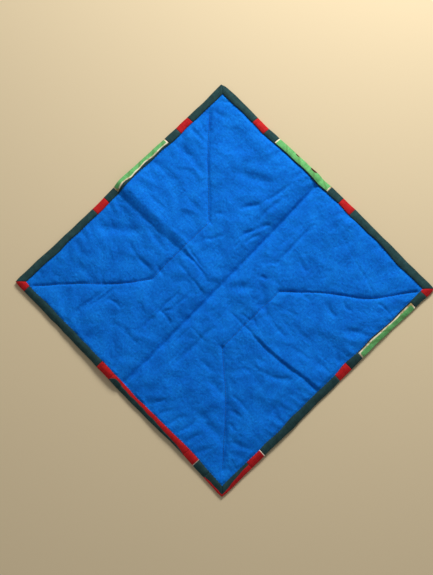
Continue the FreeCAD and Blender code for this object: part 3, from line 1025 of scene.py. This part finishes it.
padding = {
    "cellMm": 3.0,
    "underBackMm": 1.5,
    "overFrontMm": 0.3,
    "thinnest": 0.4,
    "searched": 0.7,  # of a cell, to each side
    "rimIn": 1.0,
    "fill": 0.4,
}


def waddingTop(x, y):
    return np.maximum(backHeight(x, y) - padding["underBackMm"], frontHeight(x, y) + padding["thinnest"])


rimSewnMm = 1.5  # how far past the thread the cloth is held
clearOfWadding = 0.6


def makeBack():
    node = "backing_cloth"
    piece = puckeredSheet("blue_back", node, hemHalf - rimSewnMm, list(quiltLines.values()), 51)
    shaped = read(piece.data.vertices, "co") / mm
    flat = read(piece.data.attributes["cloth"].data, "vector") / mm
    height = backHeight(flat[:, 0], flat[:, 1])
    lowest = waddingTop(flat[:, 0], flat[:, 1]) + clearOfWadding
    height = np.maximum(height + shaped[:, 2], lowest)
    points = np.stack([shaped[:, 0], shaped[:, 1], height], axis=1)
    piece.data.vertices.foreach_set("co", lay(points).astype(np.float32).ravel())
    dressMesh(piece.data, node)
    standFor(piece, node)
    return piece


back = makeBack()
print("blue back made")


def makeWadding():
    # one closed pad that follows both faces of the mat, just inside them
    node = "wadding"
    cell = padding["cellMm"]
    count = int(2 * rimHalf / cell)
    steps = np.linspace(-rimHalf + padding["rimIn"], rimHalf - padding["rimIn"], count)
    x, y = (axis.ravel() for axis in np.meshgrid(steps, steps))
    reach = [side * cell * padding["searched"] for side in (-1, 0, 1)]
    around = [(dx, dy) for dx in reach for dy in reach]
    low = np.max([frontHeight(x + dx, y + dy) for dx, dy in around], axis=0) + padding["overFrontMm"]
    high = [waddingTop(x + dx, y + dy) + liftAt(x + dx, y + dy) for dx, dy in around]
    high = np.maximum(np.min(high, axis=0) - liftAt(x, y), low + 0.1)
    upper = np.stack([x, y, high], axis=1)
    lower = np.stack([x, y, low], axis=1)
    flat = np.concatenate([upper, lower])
    piece = addMesh("soft_wadding", lay(flat), closedFaces(count, count), node, cloth=flat * mm)


makeWadding()
print("wadding made")


def seamLine(corner, stop):
    # a seam between two borders of the front, from the panel's corner out past the mat's edge
    return np.array(corner), np.array(corner) + 2 * (np.array(stop) - np.array(corner))


left, right = quiltLines["left"], quiltLines["right"]
seams = {
    "rearLeft": seamLine(left[1], left[0]),
    "frontLeft": seamLine(left[2], left[3]),
    "rearRight": seamLine(right[1], right[0]),
    "frontRight": seamLine(right[2], right[3]),
}
frontPatches = {
    "front_centre_panel": [
        (left[1], left[2]), (left[2], right[2]), (right[2], right[1]), (right[1], left[1]),
    ],
    "front_border_rear": [seams["rearLeft"][::-1], (left[1], right[1]), seams["rearRight"]],
    "front_border_right": [seams["rearRight"][::-1], (right[1], right[2]), seams["frontRight"]],
    "front_border_front": [seams["frontRight"][::-1], (right[2], left[2]), seams["frontLeft"]],
    "front_border_left": [seams["frontLeft"][::-1], (left[2], left[1]), seams["rearLeft"]],
}


patchwork = {
    "leastMm": 0.08,  # clear of the floor
    "puckerShare": 0.5,
    "patternShiftMm": 400,  # moves the materials' pattern clear of the binding's margin and berries
    "unprinted": 9.0,  # this far from a print's edge no outline shows
}


def makeFront():
    whole = puckeredSheet(
        "front_cloth", "front_centre_panel", seamHalf - rimSewnMm,
        [*quiltLines.values(), *panelEnds, *seams.values()], 52,
    )
    made = []
    for node, lines in frontPatches.items():
        cut = bmesh.new()
        cut.from_mesh(whole.data)
        for start, end in lines:
            run = np.array(end) - np.array(start)
            run = run / np.linalg.norm(run)
            bmesh.ops.bisect_plane(
                cut,
                geom=cut.verts[:] + cut.edges[:] + cut.faces[:],
                plane_co=Vector((start[0] * mm, start[1] * mm, 0)),
                plane_no=Vector((run[1], -run[0], 0)),
                clear_outer=True,
            )
        mesh = bpy.data.meshes.new(node + "_cloth")
        cut.to_mesh(mesh)
        cut.free()
        shaped = read(mesh.vertices, "co") / mm
        height = frontHeight(shaped[:, 0], shaped[:, 1])
        height = height - patchwork["puckerShare"] * np.abs(shaped[:, 2])
        height = np.maximum(height, patchwork["leastMm"])
        points = np.stack([shaped[:, 0], shaped[:, 1], height], axis=1)
        flat = (shaped * (1, 1, 0) + patchwork["patternShiftMm"]) * mm
        mesh.vertices.foreach_set("co", lay(points).astype(np.float32).ravel())
        mesh.flip_normals()
        dressMesh(mesh, node, cloth=flat, edge=np.full(len(shaped), patchwork["unprinted"]))
        piece = link(node + "_cloth", mesh)
        standFor(piece, node)
        made.append(piece)
    bpy.data.objects.remove(whole)
    return made


frontPieces = makeFront()
print("front made")


# The binding's section starts at its upper folded edge, runs out over the top, round the mat's
# edge and in underneath. A place on it is a length along that section.
binding = {
    "stepMm": 1.6,
    "across": 19,  # points along the section
    "foldRadius": 2.3,
    "crown": 0.35,
    "innerEdgeDrop": 0.35,
    "edgeThin": 2.3,
    "thinReach": 7.0,
    "underside": 0.06,  # clear of the floor
    "clothMm": 0.75,
    "seamDip": 0.35,
    "seamReach": 0.9,
    "mitreDip": 0.7,
    "mitreReach": 1.0,
    "rumpledMm": 0.55,  # only on the left and right leaf green patches
    "rumpledSize": 7,
    "unevenMm": 0.4,
    "unevenSize": 16,
    "waverMm": 0.6,  # of the inner folded edge
    "waverSize": 26,
    "cutWidth": 10.0,  # a strip that shows less has the rest as seam allowance
}
foldRadius = binding["foldRadius"]
foldRound = math.pi * foldRadius
topRun = bindingAbove - foldRadius
underRun = bindingBelow - foldRadius
sectionLength = topRun + foldRound + underRun


def sectionPoint(s, inward):
    # inset from the mat's edge and height, for lengths s along the section; inward is how deep
    middle = (matHeight + 0.1) / 2
    turn = np.clip((s - topRun) / foldRound, 0, 1) * math.pi
    inset = foldRadius - np.sin(turn) * (foldRadius - inward)
    height = middle + np.cos(turn) * (middle - binding["underside"] - inward)
    inset = np.where(s < topRun, bindingAbove - s, inset)
    inset = np.where(s > topRun + foldRound, foldRadius + (s - topRun - foldRound), inset)
    # the top is fullest halfway across and thins towards the mat's edge
    top = np.clip((height - middle) / middle, 0, 1)
    crown = binding["crown"] * np.sin(np.clip(s / topRun, 0, 1) * math.pi) ** 0.8
    thin = binding["edgeThin"] * np.clip(1 - inset / binding["thinReach"], 0, 1) ** 1.5
    innerEdge = binding["innerEdgeDrop"] * np.exp(-s / 0.8)
    return inset, height + top * (crown - thin - innerEdge)


def lengthAtInset(inset):
    # the place on the section's upper half that is so far in from the edge
    flat = bindingAbove - inset
    turn = np.arcsin(np.clip((foldRadius - inset) / foldRadius, 0, 1))
    return np.where(inset >= foldRadius, flat, topRun + turn * foldRadius)


bindingSides = ("rear", "left", "right", "front")


def onSide(side, along, inset):
    # along is the distance from the side's start corner: rear and front start at the left, left
    # and right at the rear
    if side == "rear":
        return along - halfSide, halfSide - inset
    if side == "front":
        return along - halfSide, inset - halfSide
    if side == "right":
        return halfSide - inset, halfSide - along
    return inset - halfSide, halfSide - along


def alongRange(side, node):
    low, high = cadBoxOf(node)
    if side in ("rear", "front"):
        return low[0] + halfSide, high[0] + halfSide
    return halfSide - high[1], halfSide - low[1]


def bindingStretch(side, start, stop, sFrom, sTo, mitres, printed, rumpled):
    # One closed piece of folded cloth: vertices, faces, cloth coordinates, distance from the
    # print's edge, area and width. sFrom and sTo give the section's stretch for each distance
    # along the side; mitres and printed say which ends are mitred and which edges have an outline.
    rows = max(3, int((stop - start) / binding["stepMm"]) + 1)
    across = binding["across"]
    # rows are closer together at both ends, where the seams dip
    share = np.linspace(0, 1, rows)
    share = share - 0.35 * np.sin(2 * math.pi * share) / (2 * math.pi) * min(1, 6 / rows)
    along0 = start + share * (stop - start)
    first, last = sFrom(along0), sTo(along0)
    vertices, cloth = [], []
    for inward in (0.0, binding["clothMm"]):
        s = first[:, None] + np.linspace(0, 1, across)[None, :] * (last - first)[:, None]
        inset, height = sectionPoint(s, inward)
        low = np.maximum(start, inset) if mitres[0] else np.full_like(inset, start)
        high = np.minimum(stop, 2 * halfSide - inset) if mitres[1] else np.full_like(inset, stop)
        along = low + share[:, None] * (high - low)
        dip = np.zeros_like(along)
        for edge, mitred in ((low, mitres[0]), (high, mitres[1])):
            reach = binding["mitreReach"] if mitred else binding["seamReach"]
            deep = binding["mitreDip"] if mitred else binding["seamDip"]
            dip += deep * np.exp(-((np.abs(along - edge) / reach) ** 2))
        x, y = onSide(side, along, inset)
        swell = binding["unevenMm"] * crumple(x, y, binding["unevenSize"], 61)
        if rumpled:
            rumples = crumple(along, 0.2 * s, binding["rumpledSize"], 63)
            swell = swell + binding["rumpledMm"] * rumples
        upper = np.clip((height - matHeight / 2) / (matHeight / 2), -1, 1)
        height = height + np.where(upper > 0, upper * (0.5 * swell - dip), -0.15 * upper * dip)
        innerEdge = np.exp(-s / 2.0)
        inset = inset + innerEdge * binding["waverMm"] * crumple(x, y, binding["waverSize"], 62)
        x, y = onSide(side, along, inset)
        vertices.append(np.stack([x, y, height], axis=-1).reshape(-1, 3))
        # each side has its own level, so that one side's berries don't show on another
        level = np.full_like(s, 100.0 * bindingSides.index(side))
        cloth.append(np.stack([along, s, level], axis=-1).reshape(-1, 3))
        if inward == 0:
            fromEnds = (along - start, stop - along, s - np.maximum(first[:, None], leafDetail["marginMm"]))
    area = float(np.mean(high - low) * np.mean(last - first))
    edge = np.full((rows, across), 99.0)
    for shown, distance in zip(printed, fromEnds):
        if shown:
            edge = np.minimum(edge, distance)
    faces = closedFaces(rows, across, flip=side in ("rear", "left"))
    width = float((last - first).max())
    return np.concatenate(vertices), faces, np.concatenate(cloth), np.tile(edge.ravel(), 2), area, width


def constant(value):
    return lambda along: np.full_like(along, float(value))


def wavyInset(start, stop, insets, seed, shake=0.45, rounded=0.0):
    # a seam seen from above, from one inset to the next along the side, and not quite straight
    def at(along):
        inset = np.interp(along, np.linspace(start, stop, len(insets)), insets)
        inset = inset + shake * crumple(along, 0 * along + 7 * seed, 9, seed)
        if rounded:
            nearEnd = np.minimum(along - start, stop - along) / rounded
            inset = inset * np.sqrt(np.clip(nearEnd, 0.06, 1))
        return lengthAtInset(np.clip(inset, 0.6, bindingAbove - 0.5))
    return at


# patches that are pieced lengthwise: the inset of the seam from one end to the other
leafSeam = {"insets": [8.2, 7.3, 8.2, 7.2, 7.9, 8.4, 7.4, 8.4], "seed": 71}
frontSeam = {"insets": [7.6, 7.2, 5.6, 6.2, 5.8, 4.8, 4.6, 3.4, 2.4, 1.4], "seed": 72}
cornerSeam = {"insets": [6.6, 6.4, 5.6, 4.6, 3.6, 2.8], "seed": 73}
edgingSeam = {"insets": [0.8, 2.4, 2.2, 2.6, 2.4], "seed": 74}

wholeFrom, wholeTo = constant(0), constant(sectionLength)


def bindingParts(side, node):
    # the stretches that make one patch: start, stop, from, to, and which print edges show
    start, stop = alongRange(side, node)
    key = "_".join(node.split("_")[1:3])
    plain = (False, False, False)
    if key == "left_4":
        seam = wavyInset(start, stop, leafSeam["insets"], leafSeam["seed"])
        return [(start, stop, seam, wholeTo, (True, True, True))]
    if key == "left_5":
        seam = wavyInset(start, stop, leafSeam["insets"], leafSeam["seed"])
        return [(start, stop, wholeFrom, seam, plain)]
    if key == "front_4":
        seam = wavyInset(start, stop, frontSeam["insets"], frontSeam["seed"], rounded=6.0)
        return [(start, stop, seam, wholeTo, plain)]
    if key == "front_3":
        inner = alongRange(side, "binding_front_4_bottle_green")
        seam = wavyInset(*inner, frontSeam["insets"], frontSeam["seed"], rounded=6.0)
        return [
            (start, inner[0], wholeFrom, wholeTo, plain),
            (*inner, wholeFrom, seam, plain),
            (inner[1], stop, wholeFrom, wholeTo, (False, True, False)),
        ]
    if key == "front_6":
        seam = wavyInset(start, stop, edgingSeam["insets"], edgingSeam["seed"], 0.3)
        return [(start, stop, seam, wholeTo, plain)]
    if key == "front_5":
        edging = alongRange(side, "binding_front_6_red")
        seam = wavyInset(*edging, edgingSeam["insets"], edgingSeam["seed"], 0.3)
        return [
            (start, edging[0], wholeFrom, wholeTo, plain),
            (*edging, wholeFrom, seam, plain),
        ]
    if key == "right_8":
        seam = wavyInset(start, stop, cornerSeam["insets"], cornerSeam["seed"])
        return [(start, stop, wholeFrom, seam, plain)]
    if key == "right_7":
        inner = alongRange(side, "binding_right_8_bottle_green")
        seam = wavyInset(inner[0], stop, cornerSeam["insets"], cornerSeam["seed"])
        return [
            (start, inner[0], wholeFrom, wholeTo, (True, False, False)),
            (inner[0], stop, seam, wholeTo, plain),
        ]
    leaf = slotOf[node] == "leaf_green_cotton"
    return [(start, stop, wholeFrom, wholeTo, (leaf, leaf, leaf and side == "right"))]


# of a strip's length times its width, the least that a sheet may declare
leastAreaShare = 0.301  # of a strip's length times its width, the least area worked out for a patch


def makeBindingPatch(side, node):
    vertices, faces, cloth, edges = [], [], [], []
    span = area = 0.0
    cutWidth = binding["cutWidth"]
    nearCorner = 12.0
    for start, stop, sFrom, sTo, printed in bindingParts(side, node):
        mitres = (start < 0.5, stop > 2 * halfSide - nearCorner)
        stop = 2 * halfSide if mitres[1] else stop
        shift = sum(len(part) for part in vertices)
        rumpled = slotOf[node] == "leaf_green_cotton" and side != "rear"
        partVertices, partFaces, partCloth, partEdges, partArea, width = bindingStretch(
            side, start, stop, sFrom, sTo, mitres, printed, rumpled
        )
        vertices.append(partVertices)
        cloth.append(partCloth)
        edges.append(partEdges)
        faces += [[i + shift for i in face] for face in partFaces]
        span += stop - start
        area += partArea
        cutWidth = max(cutWidth, width)
    piece = addMesh(
        node + "_cloth", lay(np.concatenate(vertices)), faces, node,
        cloth=np.concatenate(cloth) * mm, edge=np.concatenate(edges),
    )
    area = max(area, leastAreaShare * cutWidth * span)
    return piece


bindingPieces = []
for side in bindingSides:
    for node in sorted(n for n in frame["nodes"] if n.startswith(f"binding_{side}_")):
        bindingPieces.append(makeBindingPatch(side, node))
print("binding made:", len(bindingPieces), "patches")


stitch = {
    "threadMm": 0.6,  # really about 0.3 mm, thicker so that it shows
    "lengthMm": 2.1,
    "pitchMm": 2.9,
    "rings": 7,
    "around": 6,
    "proud": 0.3,  # of its thickness, above the cloth
    "shaken": 0.05,  # radians
    "lowest": 0.02,  # clear of the floor
}
hem = {"slant": 0.9, "pitch": 4.2, "length": 1.7}  # slanting, shorter and further apart


def stitchShape(length):
    # one stitch along X: thick in the middle, its ends bent down into the cloth
    rings, around = stitch["rings"], stitch["around"]
    points = []
    for ring in range(rings):
        t = ring / (rings - 1) * 2 - 1
        radius = stitch["threadMm"] / 2 * math.sqrt(max(0.06, 1 - t**4))
        for turn in range(around):
            angle = 2 * math.pi * turn / around
            down = -0.5 * stitch["threadMm"] * t**4
            up = radius * math.sin(angle) + down
            points.append((t * length / 2, radius * math.cos(angle), up))
    faces = []
    for ring in range(rings - 1):
        for turn in range(around):
            a, b = ring * around + turn, ring * around + (turn + 1) % around
            faces.append([a, a + around, b + around, b])
    faces.append([*range(around)])
    faces.append([*range(rings * around - 1, (rings - 1) * around - 1, -1)])
    return np.array(points), faces


def surfaceUnder(pieces):
    trees = []
    for piece in pieces:
        mesh = piece.data
        corners = [v.co.copy() for v in mesh.vertices]
        trees.append(BVHTree.FromPolygons(corners, [tuple(p.vertices) for p in mesh.polygons]))

    def heightAt(x, y, face):
        # the height in metres of the outermost cloth over a place, seen from the given face
        found = []
        for tree in trees:
            hit = tree.ray_cast(Vector((x, y, 0.05 * face)), Vector((0, 0, -face)))[0]
            if hit is not None:
                found.append(hit.z * face)
        return max(found) * face if found else None

    return heightAt


def makeStitches(node, lines, heightAt, face, slant=0.0, pitch=None, length=None):
    # face is 1 for stitches on the blue side and -1 for those on the front
    pitch = pitch or stitch["pitchMm"]
    shape, shapeFaces = stitchShape(length or stitch["lengthMm"])
    dice = np.random.default_rng(len(node))
    vertices, faces, flat = [], [], []
    for line in lines:
        for start, end in zip(line[:-1], line[1:]):
            run = end - start
            span = float(np.hypot(*run))
            heading = math.atan2(run[1], run[0])
            for number in range(int(span / pitch)):
                centre = start + run * ((number + 0.5) * pitch / span)
                angle = heading + slant + dice.normal(0, stitch["shaken"])
                cosine, sine = math.cos(angle), math.sin(angle)
                turned = shape @ np.array([[cosine, sine, 0], [-sine, cosine, 0], [0, 0, face]])
                turned = turned + (centre[0], centre[1], 0)
                placed = lay(turned)
                x, y = placed[:, 0].mean(), placed[:, 1].mean()
                height = heightAt(x, y, face)
                if height is None:
                    continue
                proud = face * stitch["proud"] * stitch["threadMm"]
                placed[:, 2] = height + (turned[:, 2] + proud) * mm
                placed[:, 2] = np.maximum(placed[:, 2], stitch["lowest"] * mm)  # the floor flattens it
                shift = len(vertices) * len(shape)
                vertices.append(placed)
                flat.append(turned)
                faces += [[i + shift for i in corners[::face]] for corners in shapeFaces]
    return addMesh(
        node + "_stitches", np.concatenate(vertices), faces, node, cloth=np.concatenate(flat) * mm
    )


def loopAt(half):
    corners = [(-half, -half), (half, -half), (half, half), (-half, half), (-half, -half)]
    return np.array(corners, float)


blueSurface = surfaceUnder([back])
hemSurface = surfaceUnder([back, *bindingPieces])
frontSurface = surfaceUnder([*frontPieces, *bindingPieces])
for side in ("left", "right"):
    makeStitches(f"bobbin_thread_{side}", [quiltLines[side]], blueSurface, 1)
    makeStitches(f"needle_thread_{side}", [quiltLines[side]], frontSurface, -1)
makeStitches("binding_hem_thread", [loopAt(hemHalf - 0.2)], hemSurface, 1, **hem)
makeStitches("binding_seam_thread", [loopAt(seamHalf + 0.9)], frontSurface, -1)
print("stitches made")


ground = {"half": 6.0, "hex": "D5C29E", "roughness": 0.8, "specular": 0.2}


def makeFloor():
    # plain pale wood, matt, with no boards or grain
    half = ground["half"]
    corners = [(-half, -half, 0), (half, -half, 0), (half, half, 0), (-half, half, 0)]
    mesh = bpy.data.meshes.new("floor")
    mesh.from_pydata(corners, [], [[0, 1, 2, 3]])
    made, tree = newMaterial("pale floor")
    shader = addNode(tree, "BsdfPrincipled", {
        "Base Color": hexColour(ground["hex"]),
        "Roughness": ground["roughness"],
        "Specular IOR Level": ground["specular"],
    })
    addNode(tree, "OutputMaterial", {"Surface": shader.outputs["BSDF"]})
    mesh.materials.append(made)
    link("floor", mesh)


# a window low at the rear and a little to the left, in degrees and metres, and an even white sky
light = {
    "windowHeading": 117,
    "windowHeight": 33,
    "windowDistance": 1.5,
    "windowSize": 0.5,
    "windowWatts": 25.5,
    "skyStrength": 0.29,
}


def makeLights():
    lamp = bpy.data.lights.new("window", "AREA")
    lamp.shape, lamp.size = "SQUARE", light["windowSize"]
    lamp.energy = light["windowWatts"]
    window = link("window", lamp)
    heading, height = math.radians(light["windowHeading"]), math.radians(light["windowHeight"])
    level = math.cos(height)
    towards = Vector((math.cos(heading) * level, math.sin(heading) * level, math.sin(height)))
    window.location = towards * light["windowDistance"]
    window.rotation_euler = towards.to_track_quat("Z", "Y").to_euler()
    world = bpy.data.worlds.new("sky")
    world.use_nodes = True
    sky = world.node_tree.nodes["Background"].inputs
    sky["Color"].default_value = (1, 1, 1, 1)
    sky["Strength"].default_value = light["skyStrength"]
    bpy.context.scene.world = world


# seen from above, turned so that the rear left and front right corners are up and down
view = {
    "positionMm": (122.2, -120.8, 1242.1),
    "aimMm": (-3.7, -6.7, 0.0),
    "turn": 135.63,
    "lensMm": 60.7,
}


def makeCamera():
    lens = bpy.data.cameras.new("camera")
    lens.lens = view["lensMm"]
    lens.sensor_width = 36
    lens.clip_start, lens.clip_end = 0.01, 50
    camera = link("camera", lens)
    position, aim = Vector(view["positionMm"]) * mm, Vector(view["aimMm"]) * mm
    forward = (aim - position).normalized()
    turn = math.radians(view["turn"])
    hint = Vector((math.cos(turn), math.sin(turn), 0))
    rightward = forward.cross(hint).normalized()
    upward = rightward.cross(forward)
    turned = Matrix((rightward, upward, -forward)).transposed().to_4x4()
    camera.matrix_world = Matrix.Translation(position) @ turned
    bpy.context.scene.camera = camera


makeFloor()
makeLights()
makeCamera()
bpy.context.scene.view_settings.view_transform = "Standard"
print("floor, light and camera made")
